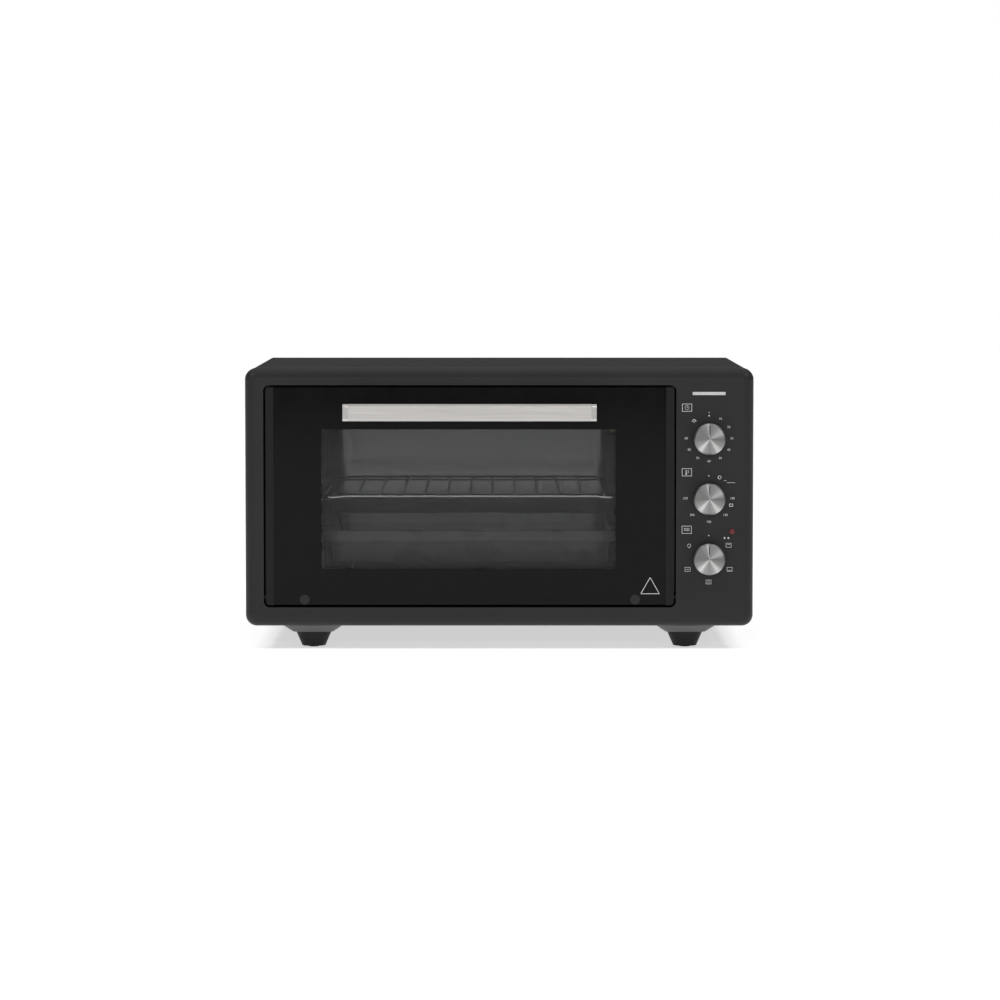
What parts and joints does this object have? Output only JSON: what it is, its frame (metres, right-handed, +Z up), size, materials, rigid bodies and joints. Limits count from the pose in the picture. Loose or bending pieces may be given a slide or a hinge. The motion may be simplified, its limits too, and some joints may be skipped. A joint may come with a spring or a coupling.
{
  "type": "toaster oven",
  "caption": "Countertop toaster oven with drop-down glass door, bar handle, three knobs, wire rack, baking tray and two sheathed heaters.",
  "frame": {"origin": "on the floor below the centre of the whole oven's box, handle included", "axes": "+X to the right seen from the front, +Y from the front to the back, +Z up"},
  "size_m": [0.56, 0.436, 0.3105],
  "materials": {
    "base_steel": "grey coated steel",
    "black_plastic": "moulded",
    "brass_bright": "bright",
    "cap_metal": "polished",
    "cavity_steel": "aluminised steel",
    "ceramic_white": "glazed steatite",
    "clear_glass": "clear",
    "cover_paint": "satin dark grey",
    "dark_screw": "blackened",
    "foot_plastic": "moulded black",
    "frame_paint": "satin dark grey",
    "handle_metal": "brushed along its length",
    "heater_sheath": "oxidised sheath",
    "knob_metal": "spun face",
    "outer_glass": "printed black border, clear window",
    "pad_rubber": "matt",
    "pan_enamel": "black enamel",
    "phenolic": "moulded phenolic",
    "rail_paint": "satin black",
    "red_lens": "tinted, glossy",
    "screw_steel": "zinc plated",
    "tray_enamel": "dark vitreous enamel",
    "white_plastic": "moulded",
    "wire_chrome": "bright plated wire",
    "zinc_steel": "zinc plated"
  },
  "bodies": {
    "cabinet": {"front_frame": "frame_paint", "cabinet_cover": "cover_paint", "base_panel": "base_steel", "foot_bosses": "base_steel", "rear_panel": "base_steel", "cavity_liner": "cavity_steel", "rack_guides": "zinc_steel", "cavity_supports": "zinc_steel", "upper_heater": "heater_sheath", "lower_heater": "heater_sheath", "heater_insulators": "ceramic_white", "heater_terminals": "zinc_steel", "heater_brackets": "zinc_steel", "heat_shield": "zinc_steel", "component_bracket": "zinc_steel", "timer_body": "white_plastic", "timer_bell": "zinc_steel", "thermostat_body": "phenolic", "thermostat_bulb": "brass_bright", "bulb_clips": "zinc_steel", "selector_switch": "phenolic", "control_nuts": "screw_steel", "indicator_lens": "red_lens", "indicator_lamp": "white_plastic", "lamp_cover": "clear_glass", "lamp_holder": "ceramic_white", "oven_lamp": "clear_glass", "terminal_block": "white_plastic", "cord_inlet_bush": "black_plastic", "feet": "foot_plastic", "foot_pads": "pad_rubber", "foot_screws": "screw_steel", "frame_screws": "screw_steel", "cover_screws": "dark_screw", "rear_screws": "screw_steel", "bracket_screws": "screw_steel"},
    "door": {"door_glass_outer": "outer_glass", "door_rail_left": "rail_paint", "door_rail_right": "rail_paint", "hinge_pins": "dark_screw", "door_pan": "pan_enamel", "door_glass_inner": "clear_glass", "inner_glass_clips": "zinc_steel", "hinge_stays": "zinc_steel", "glass_screws": "dark_screw", "handle_bar": "handle_metal", "handle_end_caps": "cap_metal", "handle_posts": "black_plastic", "handle_screws": "screw_steel"},
    "timer_control": {"timer_shaft": "zinc_steel", "timer_knob": "black_plastic", "timer_knob_cap": "knob_metal"},
    "thermostat_control": {"thermostat_shaft": "zinc_steel", "thermostat_knob": "black_plastic", "thermostat_knob_cap": "knob_metal"},
    "selector_control": {"selector_shaft": "zinc_steel", "selector_knob": "black_plastic", "selector_knob_cap": "knob_metal"},
    "rack": {"rack_frame": "wire_chrome", "rack_slats": "wire_chrome"},
    "tray": {"baking_tray": "tray_enamel"}
  },
  "joints": [
    {"name": "door_hinge", "type": "hinge", "parent": "cabinet", "child": "door", "pos_m": [0, -0.172, 0.0582], "axis": [1, 0, 0], "range_deg": [0, 90]},
    {"name": "timer_turn", "type": "hinge", "parent": "cabinet", "child": "timer_control", "pos_m": [0.2305, -0.18, 0.23355], "axis": [0, 1, 0], "range_deg": [-41, 270]},
    {"name": "thermostat_turn", "type": "hinge", "parent": "cabinet", "child": "thermostat_control", "pos_m": [0.2305, -0.18, 0.16755], "axis": [0, 1, 0], "range_deg": [0, 270]},
    {"name": "selector_turn", "type": "hinge", "parent": "cabinet", "child": "selector_control", "pos_m": [0.2305, -0.18, 0.10155], "axis": [0, 1, 0], "range_deg": [0, 300]},
    {"name": "rack_slide", "type": "slide", "parent": "cabinet", "child": "rack", "axis": [0, -1, 0], "range_m": [0, 0.158]},
    {"name": "tray_slide", "type": "slide", "parent": "cabinet", "child": "tray", "axis": [0, -1, 0], "range_m": [0, 0.095]}
  ],
  "couplings": [
    {"joint": "rack_slide", "follows": "door_hinge", "m_per_rad": 0.1},
    {"joint": "tray_slide", "follows": "door_hinge", "m_per_rad": 0.06}
  ]
}
